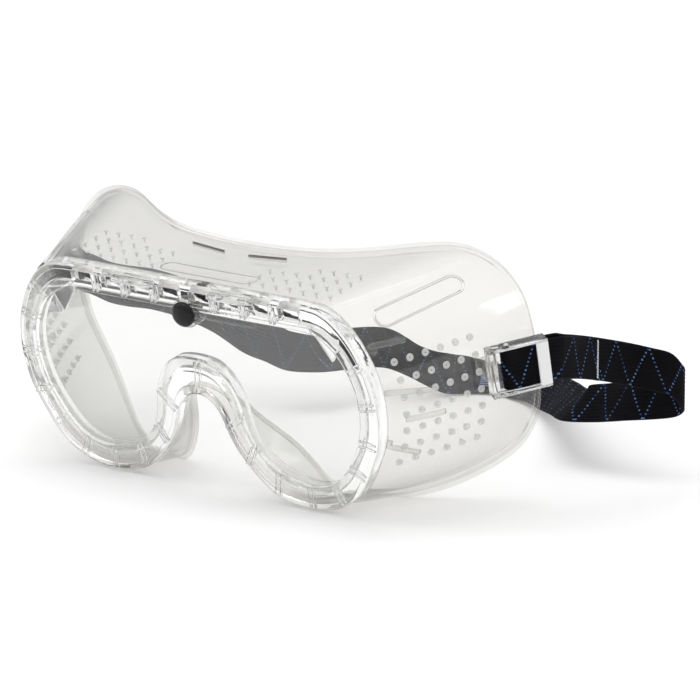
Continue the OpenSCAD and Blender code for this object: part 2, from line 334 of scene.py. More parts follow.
def clearSheet(name, finish):
    # Thin clear plastic: straight through, a reflection off the face and a grey cast where it is seen edge on
    n = Nodes(name)
    look = sheetLook
    waves = n.noise(look["wave"], 2)
    mixed = n.plus(waves, n.times(n.noise(look["grain"], 4), look["grainShare"]))
    bump = n.bump(finish["waves"], 0.002, mixed)
    facing = n.add("LayerWeight", {"Blend": 0.5}).outputs["Facing"]
    edgeOn = n.math("POWER", facing, look["edgePower"])
    tint = n.mix(edgeOn, finish["tint"], finish["edge"])
    through = n.add("BsdfTransparent", {"Color": tint}).outputs[0]
    scuffs = n.times(n.noise(look["scuff"], 5), finish["roughness"])
    scuffed = n.plus(scuffs, finish["roughness"] / 2)
    mirror = n.add("BsdfAnisotropic", {"Color": grey(1), "Roughness": scuffed, "Normal": bump}).outputs[0]
    grazing = n.add("LayerWeight", {"Blend": 0.5, "Normal": bump}).outputs["Facing"]
    steep = n.math("POWER", grazing, look["mirrorPower"])
    share = n.plus(n.times(steep, look["mirrorEdge"]), look["mirrorFace"])
    shiny = n.add("MixShader", {0: share, 1: through, 2: mirror}).outputs[0]
    # The milk is real haze, and in the nubs and the buckle's end bar it is also painted reflection that
    # whitens them
    haze = n.add("BsdfTranslucent", {"Color": grey(0.92)}).outputs[0]
    dull = n.add("BsdfDiffuse", {"Color": grey(0.95)}).outputs[0]
    milkAndPaintedShine = n.add("MixShader", {0: finish["solid"], 1: haze, 2: dull}).outputs[0]
    hazeAndShineShare = n.plus(n.times(edgeOn, finish["milkEdge"]), finish["milkAndPaintedShine"])
    return n.finish(n.add("MixShader", {0: hazeAndShineShare, 1: shiny, 2: milkAndPaintedShine}).outputs[0])


def shadedCutWall(name, tint):
    # The inside of a hole through clear plastic, with a darker see-through tint than the sheet round it:
    # painted shade on the cut walls
    n = Nodes(name)
    paler = tuple(min(1, v * 1.5) for v in tint[:3]) + (1,)
    uneven = n.ramp(n.noise(600, 3), [(0.3, tint), (0.8, paler)])
    through = n.add("BsdfTransparent", {"Color": uneven}).outputs[0]
    mirror = n.add("BsdfAnisotropic", {"Color": grey(1), "Roughness": 0.15}).outputs[0]
    return n.finish(n.add("MixShader", {0: 0.06, 1: through, 2: mirror}).outputs[0])


thickFinish = {
    "rim": {"colour": (0.99, 0.99, 0.985, 1), "roughness": 0.05, "waves": 0.10, "bend": 1.33},
    "buckle": {"colour": (0.985, 0.99, 0.99, 1), "roughness": 0.02, "waves": 0.03, "bend": 1.45},
}


def clearSolid(name, finish):
    # Thick moulded clear plastic, which bends what is seen through it
    n = Nodes(name)
    mixed = n.plus(n.noise(110, 2), n.times(n.noise(800, 4), 0.15))
    bump = n.bump(finish["waves"], 0.002, mixed)
    scuffs = n.times(n.noise(300, 5), finish["roughness"])
    rough = n.plus(scuffs, finish["roughness"] / 3)
    return n.finish(n.add("BsdfPrincipled", {
        "Base Color": finish["colour"], "Roughness": rough, "IOR": finish["bend"],
        "Transmission Weight": 1.0, "Normal": bump}).outputs[0])


def glossyBlack():
    n = Nodes("studBlack")
    scratches = n.noise(500, 6, (1, 1, 6))
    bump = n.bump(0.05, 0.0005, scratches)
    rough = n.plus(n.times(scratches, 0.16), 0.10)
    colour = n.ramp(n.noise(300, 3), [(0.3, (0.006, 0.006, 0.007, 1)), (0.75, (0.018, 0.018, 0.02, 1))])
    return n.finish(n.add("BsdfPrincipled", {
        "Base Color": colour, "Roughness": rough, "Normal": bump, "Specular IOR Level": 0.2}).outputs[0])


elasticLook = {"width": 13.0, "ribs": 11, "knit": 0.55,
               "zigzag": 11.7, "dash": 0.25, "dotHalf": 0.24, "grooveFrom": 0.42,
               "base": (0.002, 0.002, 0.0032, 1), "worn": (0.0035, 0.0035, 0.0055, 1),
               "groove": (0.010, 0.010, 0.014, 1),
               "dot": (0.02, 0.045, 0.15, 1), "dotPale": (0.15, 0.25, 0.5, 1)}


def elasticMaterial():
    # The UV map holds millimetres along the band and across it, each divided by 100
    look = elasticLook
    n = Nodes("elasticBlack")
    uv = n.add("SeparateXYZ", {0: n.add("UVMap").outputs[0]})
    along = n.times(uv.outputs[0], 100.0)
    across = n.times(uv.outputs[1], 100.0)
    pitch = look["width"] / look["ribs"]
    rib = n.math("FLOOR", n.math("DIVIDE", across, pitch))
    ribMiddle = n.times(n.plus(rib, 0.5), pitch)
    half = look["zigzag"] / 2
    saw = n.math("ABSOLUTE", n.math("SUBTRACT", n.math("FLOORED_MODULO", along, look["zigzag"]), half))
    target = n.times(ribMiddle, half / look["width"])
    nearLine = n.math("LESS_THAN", n.math("ABSOLUTE", n.math("SUBTRACT", saw, target)), look["dash"])
    offRib = n.math("ABSOLUTE", n.math("SUBTRACT", across, ribMiddle))
    nearRib = n.math("LESS_THAN", offRib, look["dotHalf"])
    dot = n.times(nearLine, nearRib)
    knit = n.math("SINE", n.times(along, 2 * math.pi / look["knit"]))
    course = n.math("SINE", n.times(across, 2 * math.pi / (pitch / 2)))
    checks = n.times(n.times(knit, course), 0.5)
    weave = n.plus(checks, n.times(course, 0.3))
    fluffy = n.plus(weave, n.times(n.noise(1400, 4), 0.8))
    height = n.plus(fluffy, n.times(dot, 0.9))
    bump = n.bump(0.55, 0.00025, height)
    wear = n.ramp(n.noise(160, 5), [(0.42, grey(0)), (0.75, grey(1))])
    worn = n.mix(wear, look["base"], look["worn"])
    fade = n.ramp(n.noise(700, 2), [(0.4, grey(0)), (0.65, grey(1))])
    thread = n.mix(fade, look["dot"], look["dotPale"])
    inGroove = n.math("GREATER_THAN", offRib, pitch * look["grooveFrom"])
    groove = n.times(inGroove, n.ramp(n.noise(90, 3), [(0.35, grey(0)), (0.7, grey(1))]))
    ground = n.mix(groove, worn, look["groove"])
    colour = n.mix(dot, ground, thread)
    return n.finish(n.add("BsdfPrincipled", {
        "Base Color": colour, "Roughness": 0.82, "Normal": bump, "Specular IOR Level": 0.1,
        "Sheen Weight": 0.01, "Sheen Roughness": 0.5, "Sheen Tint": (0.35, 0.4, 0.6, 1)}).outputs[0])


def threadMaterial(name, light, dark):
    n = Nodes(name)
    where = n.add("TexCoord").outputs["Object"]
    twist = n.add("TexWave", {"Vector": where, "Scale": 900.0, "Distortion": 2.0, "Detail": 2.0}).outputs[1]
    # The colour follows the same twist as the bump and is darker in its hollows: painted shade between the
    # plies
    colour = n.ramp(twist, [(0.2, dark), (0.8, light)])
    bump = n.bump(0.6, 0.0002, twist)
    return n.finish(n.add("BsdfPrincipled", {
        "Base Color": colour, "Roughness": 0.6, "Normal": bump, "Sheen Weight": 0.2}).outputs[0])


lensClear = clearSheet("lensClear", thinFinish["lens"])
skirtClear = clearSheet("skirtClear", thinFinish["skirt"])
rimClear = clearSolid("rimClear", thickFinish["rim"])
nubClear = clearSheet("nubClear", thinFinish["nub"])
buckleEnd = clearSheet("buckleEnd", thinFinish["end"])
buckleClear = clearSolid("buckleClear", thickFinish["buckle"])
# Painted shade: the vent holes' walls get a darker tint than the clear sheet
holeWallShade = shadedCutWall("holeWallShade", (0.74, 0.75, 0.75, 1))
# Painted shade: the brow slits' walls get a dark tint so the slits read dark
slitWallShade = shadedCutWall("slitWallShade", (0.10, 0.10, 0.10, 1))
studBlack = glossyBlack()
elasticBlack = elasticMaterial()
threadWhite = threadMaterial("threadWhite", (0.85, 0.88, 0.95, 1), (0.45, 0.5, 0.65, 1))
threadBlue = threadMaterial("threadBlue", (0.32, 0.42, 0.62, 1), (0.12, 0.17, 0.32, 1))
print("materials made")

# Each row: the rim's outer edge x, z; the lens opening's edge x, z; the face edge x, y, z.
# From the top middle, down the wearer's left side, and up round the nose.
outline = [
    (0, 66.7, 0, 58.6, 0, 32.9, 65.9), (12, 66.7, 12, 58.6, 14, 33.4, 66.1),
    (25, 66.7, 25, 58.6, 28, 34.9, 66.7), (36, 66.7, 36, 58.6, 40, 39.9, 67),
    (44, 66.7, 43, 58.6, 50, 46.2, 67.2), (50, 66.4, 47.5, 58.2, 57.5, 50.3, 67.4),
    (54, 64.6, 50.6, 56.8, 65, 52.6, 66.9), (57.8, 61.6, 53, 55, 71, 53.4, 65.2),
    (60.4, 58.5, 55.1, 53, 76, 53.7, 62.6), (62.6, 55.2, 57, 50.5, 80, 53.6, 59.2),
    (65.1, 50.1, 59, 46.5, 84, 53, 54), (67, 44.5, 60.6, 42, 86.2, 52, 47.5),
    (67.9, 36.8, 61.1, 36, 87.3, 51.6, 38), (67.3, 29.7, 60.4, 30, 87, 51.4, 28),
    (65.9, 23.7, 58.8, 25, 85.8, 51.5, 20.5), (62.8, 17.8, 56.2, 20.2, 82.6, 51.4, 13.4),
    (59.3, 11.4, 53, 15.4, 77.5, 49.7, 6.2), (55.1, 6.5, 49.6, 11.9, 70.5, 44.6, 1.4),
    (50.9, 3.8, 46.9, 10.2, 64, 39.5, -1.8), (45.9, 1.6, 43.2, 8.8, 56, 33.2, -4.3),
    (39.1, 0.5, 38.8, 8.2, 46, 27, -5), (31.8, 0.8, 33.2, 9.3, 36, 23.6, -4.9),
    (25.9, 2.3, 27.6, 10.9, 28.6, 22, -3.6), (21.1, 5.2, 23.2, 13.6, 24.4, 21.6, 1.5),
    (15.7, 10.6, 19.2, 17.4, 19.6, 19, 10.5), (11.6, 16, 17.2, 21.8, 15.2, 14.6, 17.5),
    (9.3, 21, 16.2, 27, 12, 11.2, 23), (7.6, 26.2, 14.6, 34, 9.4, 8.8, 28),
    (4.4, 30, 9, 41.8, 5.2, 7.4, 31.4), (0, 31.2, 0, 42.8, 0, 7, 32.6)]

# lap is how far the skirt starts inside the rim; each roll row is (share outward, distance back)
frameShape = {"rimDepth": 5.0, "lap": 0.4, "wall": 1.6, "steps": 5, "rows": 18, "smoothing": 8,
              "bulge": 0.06, "rollOut": 0.15, "roll": ((0.45, 0.35), (0.9, 0.55), (1.15, 0.35)),
              "eye": (34, 36)}


def mirrorRow(row):
    return (-row[0], row[1], -row[2], row[3], -row[4], row[5], row[6])


ringRows = closedCurve(outline + [mirrorRow(r) for r in reversed(outline[1:-1])], frameShape["steps"])
columns = len(ringRows)
for _ in range(frameShape["smoothing"]):     # evens out the listed points
    ringRows = [tuple(0.25 * a + 0.5 * b + 0.25 * c for a, b, c in
                      zip(ringRows[i - 1], ringRows[i], ringRows[(i + 1) % columns])) for i in range(columns)]


def skirtPoint(row, v):
    # From the rim at v = 0 to the face edge at v = 1
    front = Vector((row[0], frameShape["rimDepth"] - frameShape["lap"], row[1]))
    back = Vector((row[4], row[5], row[6]))
    p = front.lerp(back, v)
    out = Vector((row[4] - row[0], 0, row[6] - row[1]))
    return p + out * math.sin(math.pi * v) * frameShape["bulge"]


def buildSkirtSurface():
    verts = []
    rows = frameShape["rows"]
    for r in range(rows + 1):
        verts += [skirtPoint(row, r / rows) for row in ringRows]
    # The edge rolls outward a little
    for roll, back in frameShape["roll"]:
        for i, row in enumerate(ringRows):
            end, near = skirtPoint(row, 1), skirtPoint(row, 0.9)
            way = (end - near).normalized()
            ahead = skirtPoint(ringRows[(i + 1) % columns], 1)
            behind = skirtPoint(ringRows[i - 1], 1)
            out = (ahead - behind).normalized().cross(way)
            verts.append(end - out * roll * frameShape["rollOut"] + way * back)
    return verts, gridFaces(rows + 1 + len(frameShape["roll"]), columns)


skirtVerts, skirtFaces = buildSkirtSurface()
surface = BVHTree.FromPolygons([tuple(v) for v in skirtVerts], skirtFaces)


def onSurface(x, y, z):
    # The nearest place on the skirt, and the way out from the middle of that eye
    place, normal, _, _ = surface.find_nearest(Vector((x, y, z)))
    eye = Vector((math.copysign(frameShape["eye"][0], place.x), place.y, frameShape["eye"][1]))
    if normal.dot(place - eye) < 0:
        normal = -normal
    return place, normal


def fromSide(side, y, z):
    # The place on the skirt that a level line from that side meets first
    place, normal, _, _ = surface.ray_cast(Vector((side * 130, y, z)), Vector((-side, 0, 0)))
    if place is None:
        return onSurface(side * 70, y, z)
    if normal.x * side < 0:
        normal = -normal
    return place, normal


def fromTop(x, y):
    # The place on the skirt that a line straight down meets first
    place, normal, _, _ = surface.ray_cast(Vector((x, y, 120)), Vector((0, 0, -1)))
    return place, normal if normal.z > 0 else -normal


vents = {"hole": 0.3, "cut": (-2.6, 1.4), "ring": 0.66, "wire": 0.48, "proud": 0.5,
         "topSmaller": (0.7, 0.55, 0.5), "topFirst": 48.4, "topPitch": 5.0,
         "topRows": ((24.2, 4), (19.3, 7), (14.4, 7), (9.5, 7)),
         "sideFirst": (10.2, 48.8), "sidePitch": (4.55, 5.4), "sideColumns": 6, "sideRows": 7}


def ventPlaces():
    top, side = [], []
    for s in (-1, 1):
        for y, count in vents["topRows"]:
            for c in range(count):
                top.append(fromTop(s * (vents["topFirst"] - vents["topPitch"] * c), y))
        for r in range(vents["sideRows"]):
            for c in range(vents["sideColumns"]):
                y = vents["sideFirst"][0] + vents["sidePitch"][0] * c
                side.append(fromSide(s, y, vents["sideFirst"][1] - vents["sidePitch"][1] * r))
    return [[frameAt(p, n, (0, 1, 0)) for p, n in some] for some in (top, side)]


# A fine cut right through each brow slit, and a wider shallow one whose wall takes a dark tint, painted shade
# that makes the slit read dark
slitShape = {"at": (11.2, 27.3), "slope": 0.114, "half": 6.6, "above": 2,
             "cuts": ((0.16, 3, skirtClear), (0.24, 0.6, slitWallShade))}


def buildSkirt():
    skirt = makeObject("faceSkirt", skirtVerts, skirtFaces, skirtClear)
    solid = skirt.modifiers.new("wall", "SOLIDIFY")
    solid.thickness = frameShape["wall"] * 0.001
    solid.offset = -1
    solid.use_even_offset = False
    solid.use_quality_normals = True
    applyModifiers(skirt)
    top, side = ventPlaces()
    low, high = vents["cut"]
    hole = lathe([(0, low), (vents["hole"], low), (vents["hole"], high), (0, high)], 14)
    combine(skirt, makeObject("ventCutter", *manyOf(top + side, *hole), holeWallShade), "DIFFERENCE")
    slits = []
    for s in (-1, 1):
        place, normal = fromTop(s * slitShape["at"][0], slitShape["at"][1])
        slits.append(frameAt(place, normal, (1, s * slitShape["slope"], 0)))
    for wide, deep, look in slitShape["cuts"]:
        slit = boxMesh((-slitShape["half"], -wide, -deep), (slitShape["half"], wide, slitShape["above"]))
        combine(skirt, makeObject("slitCutter", *manyOf(slits, *slit), look), "DIFFERENCE")
    sharpen(skirt, 45)
    return skirt, top, side


def buildVentRings(top, side):
    ring = ringMesh(vents["ring"], vents["wire"], vents["proud"], 18, 8)
    radius, wire, proud = (vents[k] * v for k, v in zip(("ring", "wire", "proud"), vents["topSmaller"]))
    a = makeObject("ventRings", *manyOf(side, *ring), nubClear)
    b = makeObject("ventRingsTop", *manyOf(top, *ringMesh(radius, wire, proud, 16, 8)), nubClear)
    return joined([a, b])


# Each bar runs from one y, z to another on the side of the skirt, and sinks in towards its far end
sideMarks = {"cartouche": {"start": (62.2, 12, 60), "end": (73, 40.5, 63.7), "height": 6,
                           "bead": 0.9, "proud": 0.45},
             "bars": [(4, 54.7, 16, 53.8), (5, 41, 20, 37), (10, 31, 22, 29), (4, 24.6, 16, 17)],
             "barWidth": 1.8, "barProud": 0.6, "barSink": 0.9, "barSteps": 12,
             "plate": {"middle": (2.5, 10.5), "size": (35, 5.4), "bead": 0.5, "proud": 0.25}}


def roundedPath(length, height):
    # A stadium outline round the origin: x along its length and y across it
    count, step = 72, 0.9
    r = height / 2
    straight = length - height
    path = []
    for i in range(count):
        a = 2 * math.pi * i / count
        shift = straight / 2 if math.cos(a) > 0 else -straight / 2
        path.append((shift + r * math.cos(a), r * math.sin(a)))
    full = []      # the same with points along the straights too
    for i, p in enumerate(path):
        q = path[(i + 1) % count]
        full.append(p)
        gap = math.dist(p, q)
        extra = int(gap / step)
        for k in range(1, extra):
            full.append((p[0] + (q[0] - p[0]) * k / extra, p[1] + (q[1] - p[1]) * k / extra))
    return full


def buildSideMarks():
    marks = []
    look = sideMarks["cartouche"]
    for s in (-1, 1):
        start, end = Vector(look["start"]), Vector(look["end"])
        start.x, end.x = s * start.x, s * end.x
        middle, normal = onSurface(*((start + end) / 2))
        place = frameAt(middle, normal, end - start)
        path = [onSurface(*(place @ Vector((u, v, 0))))
                for u, v in roundedPath((end - start).length, look["height"])]
        marks.append(makeObject("cartouche", *tubeAlong(path, look["bead"], look["proud"]), rimClear))
        for y0, z0, y1, z1 in sideMarks["bars"]:
            path = []
            for i in range(sideMarks["barSteps"] + 1):
                t = i / sideMarks["barSteps"]
                p, up = fromSide(s, y0 + (y1 - y0) * t, z0 + (z1 - z0) * t)
                path.append((p - up * sideMarks["barSink"] * t * t, up))
            tube = tubeAlong(path, sideMarks["barWidth"], sideMarks["barProud"], 10, False)
            marks.append(makeObject("bar", *tube, skirtClear))
    plate = sideMarks["plate"]
    x, y = plate["middle"]
    path = [fromTop(x + u, y + v) for u, v in roundedPath(*plate["size"])]
    marks.append(makeObject("plate", *tubeAlong(path, plate["bead"], plate["proud"]), rimClear))
    return joined(marks)


# Across the flange: share of the way from the outer edge to the opening, and depth behind the front
rimProfile = [(0, 4.9), (0, 2.6), (0, 0.9), (0.03, 0.35), (0.09, 0.05), (0.16, 0), (0.22, 0),
              (0.25, 0.12), (0.27, 0.45), (0.45, 0.5), (0.6, 0.5), (0.63, 0.42), (0.66, 0.1), (0.7, 0),
              (0.92, 0), (0.98, 0.12), (1, 0.5), (1, 1.35), (0.72, 1.4), (0.72, 3.1), (1, 3.15),
              (1, 4.6), (0.96, 5), (0.5, 5), (0.06, 5)]


def rimPoint(row, share, depth):
    return Vector((row[0] + (row[2] - row[0]) * share, depth, row[1] + (row[3] - row[1]) * share))


bar = {"windows": (6, 17, 28, 39), "window": (8.0, 4.6), "low": 60.3, "depth": 3.3,
       "slot": {"x": 18.25, "half": 7.6, "z": (65.2, 65.9), "depth": 1.2}, "above": -2,
       "ledge": {"x": (10, 26.5), "y": (-1.3, 0.4), "z": (63.9, 65.3)},
       "posts": {"x": (11.3, 22.5, 33.5), "apart": 0.75, "half": 0.3, "y": (-0.5, 0.6), "z": (59.4, 65.6)},
       "web": {"corners": ((43.5, 59.2), (55.5, 56.6), (51.0, 48.6)), "y": (3.2, 4.6)},
       "studAt": 57.5,
       "boss": [(0, -4.8), (4.7, -4.8), (4.7, -0.5), (4.45, -0.1), (3.9, 0.0), (0, 0.0)]}
ribLook = {"spacing": 13.0, "gap": 1.7, "width": 0.7, "proud": 0.35, "sunk": 0.6, "across": (0.1, 0.94),
           "below": 60}


def clearBox(name, x, y, z, bevel=None):
    # A box of rim plastic from (low, high) on each axis; bevel is (width, segments)
    obj = makeObject(name, *boxMesh((x[0], y[0], z[0]), (x[1], y[1], z[1])), rimClear)
    if bevel:
        bevelled(obj, *bevel)
    return obj


def studPlace():
    return frameAt((0, 0, bar["studAt"]), (0, -1, 0), (1, 0, 0))


def onSide(side, span):
    # A span of x given for the wearer's left, on that side or the other
    return span if side > 0 else (-span[1], -span[0])


def buildRim():
    verts = []
    for share, depth in rimProfile:
        verts += [rimPoint(row, share, depth) for row in ringRows]
    rim = makeObject("frontRim", verts, gridFaces(len(rimProfile), columns, True), rimClear)
    cutters = []
    w, h = bar["window"]
    slot = bar["slot"]
    for s in (-1, 1):
        for x in bar["windows"]:
            cutters.append(clearBox("window", (s * x - w / 2, s * x + w / 2), (bar["above"], bar["depth"]),
                                    (bar["low"], bar["low"] + h), (0.5, 2)))
        cutters.append(clearBox("slot", (s * slot["x"] - slot["half"], s * slot["x"] + slot["half"]),
                                (bar["above"], slot["depth"]), slot["z"]))
    combine(rim, joined(cutters), "DIFFERENCE")
    sharpen(rim, 40)
    extras = []
    ledge, posts, web = bar["ledge"], bar["posts"], bar["web"]
    for s in (-1, 1):
        extras.append(clearBox("ledge", onSide(s, ledge["x"]), ledge["y"], ledge["z"], (0.45, 3)))
        for x in posts["x"]:   # posts in pairs between the windows
            for shift in (-posts["apart"], posts["apart"]):
                middle = s * x + shift
                extras.append(clearBox("post", (middle - posts["half"], middle + posts["half"]),
                                       posts["y"], posts["z"], (0.2, 2)))
        # a three-cornered web in each top corner, behind the lens
        verts = [(s * x, y, z) for y in web["y"] for x, z in web["corners"]]
        faces = [(0, 1, 2), (5, 4, 3), (0, 3, 4, 1), (1, 4, 5, 2), (2, 5, 3, 0)]
        extras.append(makeObject("web", verts, faces, rimClear))
        bevelled(extras[-1], 0.4, 2)
    extras.append(makeObject("boss", *manyOf([studPlace()], *lathe(bar["boss"], 48)), skirtClear))
    extras += buildRibs()
    for obj in extras:
        sharpen(obj, 40)
    return joined([rim] + extras)


def buildRibs():
    # Pairs of thin ribs across the flange, at even steps of its length
    ribs = []
    w = ribLook["width"]
    places, total, last = [], 0, None
    for row in ringRows:
        here = Vector((row[0], 0, row[1]))
        if last is not None:
            total += (here - last).length
        places.append(total)
        last = here
    count = round(total / ribLook["spacing"])
    for k in range(count):
        want = total * (k + 0.5) / count
        i = min(range(len(places)), key=lambda j: abs(places[j] - want))
        row = ringRows[i]
        if row[1] > ribLook["below"]:
            continue
        a, b = (rimPoint(row, share, 0) for share in ribLook["across"])
        length = (b - a).length
        place = frameAt((a + b) / 2, (0, -1, 0), b - a)
        for gap in (-ribLook["gap"] / 2, ribLook["gap"] / 2):
            box = boxMesh((-length / 2, gap - w / 2, -ribLook["sunk"]),
                          (length / 2, gap + w / 2, ribLook["proud"]))
            ribs.append(makeObject("rib", *manyOf([place], *box), rimClear))
            bevelled(ribs[-1], 0.2, 2)
    return ribs


# edge is the share of the way from the opening to the rim's outer edge that the lens reaches
lensShape = {"front": 1.55, "thickness": 1.5, "edge": 0.26, "tab": (10.2, 26.3), "tabZ": (59, 66.2),
             "plate": {"x": (4.6, 25.5), "z": (56.1, 58.1), "bead": 0.45, "proud": 0.22}}


def buildLens():
    edge = [rimPoint(row, 1 - lensShape["edge"], 0) for row in ringRows]
    y0, y1 = lensShape["front"], lensShape["front"] + lensShape["thickness"]
    count = len(edge)
    verts = [(p.x, y0, p.z) for p in edge] + [(p.x, y1, p.z) for p in edge]
    faces = [tuple(range(count)), tuple(range(2 * count - 1, count - 1, -1))]
    faces += [(i, (i + 1) % count, count + (i + 1) % count, count + i) for i in range(count)]
    lens = makeObject("lens", verts, faces, lensClear, smooth=False)
    low, high = lensShape["tabZ"]
    for s in (-1, 1):
        x0, x1 = onSide(s, lensShape["tab"])
        tab = makeObject("tab", *boxMesh((x0, y0, low), (x1, y1, high)), lensClear, smooth=False)
        combine(lens, tab, "UNION")
    look = lensShape["plate"]      # the bare marking plate beside the stud
    (x0, x1), (z0, z1) = look["x"], look["z"]
    path = [(Vector(((x0 + x1) / 2 + u, y0, (z0 + z1) / 2 + v)), (0, -1, 0))
            for u, v in roundedPath(x1 - x0, z1 - z0)]
    bead = tubeAlong(path, look["bead"], look["proud"])
    lens = joined([lens, makeObject("lensPlate", *bead, lensClear)])
    lens.data.shade_flat()
    return lens


# Radius and height above the boss, from the middle of the head down to the end of the shank
studProfile = [(0, 2.35), (1.2, 2.3), (2.4, 2.12), (3.1, 1.86), (3.55, 1.5), (3.85, 1.05), (3.9, 0.6),
               (3.88, 0.12), (3.5, 0.05), (1.2, 0.05), (1.2, -5.3), (1.5, -5.6), (1.4, -6.1), (1.0, -6.6),
               (0, -6.6)]


def buildStud():
    stud = makeObject("lensStud", *manyOf([studPlace()], *lathe(studProfile, 56)), studBlack)
    sharpen(stud, 50)
    return stud


# swing is how far each buckle is turned outward from pointing straight back, in degrees
hinge = {"x": 84.0, "y": 34.5, "z": 38.0, "swing": {1: 35, -1: 20}}
buckleShape = {"length": 17.0, "inside": 6.65, "rail": 0.85, "low": -1.5, "high": 3.5, "pin": 1.3,
               "cross": 0.9, "crossAt": 5.2, "end": 3.6, "endFrom": 2.4, "endTo": 3.4, "lap": 0.2,
               "layer": 1.6, "loop": 15.8}


def hingePlace(side):
    return Matrix.Translation((side * hinge["x"], hinge["y"], hinge["z"]))


def buckleWay(side):
    return math.radians(90 - side * hinge["swing"][side])


def atBuckle(side):
    flip = Matrix.Diagonal((1, -1 if side > 0 else 1, 1, 1))
    return hingePlace(side) @ Matrix.Rotation(buckleWay(side), 4, "Z") @ flip


def buildBuckle(side):
    b = buckleShape
    place = toFrame @ atBuckle(side)
    inner = b["inside"] + b["lap"]
    parts = []

    def add(name, mesh, look, bevel=None):
        parts.append(makeObject(name, *mesh, look, place))
        if bevel:
            bevelled(parts[-1], bevel, 3)

    for z0 in (-b["inside"] - b["rail"], b["inside"]):
        add("rail", boxMesh((-b["pin"], b["low"], z0), (b["length"], b["high"], z0 + b["rail"])),
            buckleClear, 0.35)
    add("end", boxMesh((b["length"] - b["end"], b["endFrom"], -inner), (b["length"], b["endTo"], inner)),
        buckleEnd, 0.3)
    add("plate", boxMesh((-b["pin"], b["low"], -inner), (b["pin"] * 0.8, b["high"], inner)),
        buckleClear, 0.6)
    pin = lathe([(0, -inner), (b["cross"], -inner), (b["cross"], inner), (0, inner)], 32)
    add("pin", manyOf([Matrix.Translation((b["crossAt"], 0, 0))], *pin), buckleClear)
    for obj in parts:
        sharpen(obj, 40)
    buckle = joined(parts)
    buckle.name = "buckleLeft" if side > 0 else "buckleRight"
    return buckle


# The profile is the eye's, round the buckle's pin; the wing joins the eye to the skirt
lugShape = {"profile": [(0, -2.5), (2.3, -2.5), (2.45, -2.2), (2.45, 2.2), (2.3, 2.5), (0, 2.5)],
            "wing": ((-6.5, -1.6, -2.5), (0, 1.6, 2.5)), "turn": -22}


def buildLug(side):
    # The lug on a temple that the buckle's pin turns in
    place = hingePlace(side)
    eye = makeObject("eye", *manyOf([place], *lathe(lugShape["profile"], 32)), skirtClear)
    turn = Matrix.Rotation(math.radians(lugShape["turn"] * side), 4, "Z")
    wing = makeObject("wing", *boxMesh(*lugShape["wing"]), skirtClear,
                      toFrame @ place @ turn @ Matrix.Diagonal((side, 1, 1, 1)))
    bevelled(wing, 0.5, 3)
    for obj in (eye, wing):
        sharpen(obj, 40)
    return joined([eye, wing])


# Points along the strap's lower edge, from the left buckle round to the right one.
# Each is x, y, z and how far the band leans to the right of its way, in degrees.
route = [
    (93.2, 42.8, 41.3, 7), (93.6, 47, 40, 5), (93.4, 55, 38, 0), (93.4, 64, 35.6, 0), (95.4, 77, 31.8, 0),
    (100.5, 82, 30, 0), (105, 86, 28.3, 0), (106.6, 89, 25, 0), (105.6, 91.8, 22, 0), (102.5, 92, 20, 0),
    (96.5, 89.3, 18.8, 8), (88.8, 86.8, 17.6, 20), (77.4, 86, 15.3, 38), (66, 86, 13.8, 46),
    (52, 99, 10.8, 42), (40, 113, 6.8, 32), (28, 126, 3.3, 25), (15.7, 136.5, 1.3, 38), (5.8, 141, 0, 55),
    (-2, 141.5, 0, 58), (-8.5, 137.5, 0, 35), (-12, 131.5, 1, 5), (-17.8, 129.2, 3, -10),
    (-23.3, 126.1, 6, -10), (-27.5, 120.8, 9, 5), (-28.5, 110, 11, 20), (-29, 100, 12, 35),
    (-32, 91.5, 12.5, 42), (-40, 86, 13, 32), (-46, 82.3, 16, 8), (-50, 76.5, 19.5, 0),
    (-54.5, 67.5, 27, 0), (-60, 58.5, 32.5, 0), (-67, 53.5, 35, 0), (-75, 51.5, 35.2, 0),
    (-83, 52.5, 35, 0), (-90, 54.3, 35.5, 0), (-91.8, 50, 38, 2), (-88.8, 44.6, 41.7, 4),
]
# seam, folds and into count in points of the route; into is how far the band goes on into the
# buckles, at tuck millimetres a point
strapShape = {"width": 13.0, "thickness": 1.2, "ribs": 11, "ribDeep": 0.2, "seam": 24, "steps": 9,
              "leftFold": 3, "rightFold": 1.5, "foldStarts": (3, 5), "foldAir": 0.05,
              "into": 0.6, "tuck": 4.2}
lastPoint = len(route) - 1


def strapPlace(at):
    # The band's lower edge at a point number
    p = Vector(curvePoint(route, min(max(at, 0), lastPoint))[:3])
    beyond = max(-at, at - lastPoint, 0)
    if beyond:      # straight on, in along the buckle
        a = buckleWay(1 if at < 0 else -1)
        p -= leaned.to_3x3() @ Vector((math.cos(a), math.sin(a), 0)) * beyond * strapShape["tuck"]
    return Vector((p.x, p.y, max(p.z, 0)))


def strapFrame(at):
    # Lower edge, direction up the band and direction out of its face, at a point number
    ahead = strapPlace(min(at + 0.1, lastPoint + 1)) - strapPlace(max(at - 0.1, -1))
    right = Vector((ahead.y, -ahead.x, 0)).normalized()
    tilt = math.radians(curvePoint(route, min(max(at, 0), lastPoint))[3])
    up = Vector((0, 0, math.cos(tilt))) + right * math.sin(tilt)
    beyond = max(-at, at - lastPoint, 0)
    if beyond:      # as upright as the buckle
        up = up.lerp(leaned.to_3x3() @ Vector((0, 0, 1)), min(1, beyond * 2)).normalized()
    out = ahead.cross(up).normalized()
    low = strapPlace(at) + Vector((0, 0, abs(out.z) * strapShape["thickness"] / 2))
    return low, up, out


def foldGap(at):
    # How far the folded end lies off the band: two layers off at the buckle, close to it further on
    away = max(0, min(at / strapShape["leftFold"], (lastPoint - at) / strapShape["rightFold"], 1))
    close = strapShape["thickness"] + strapShape["foldAir"]
    return (1 - away) * 2 * buckleShape["layer"] + away * close


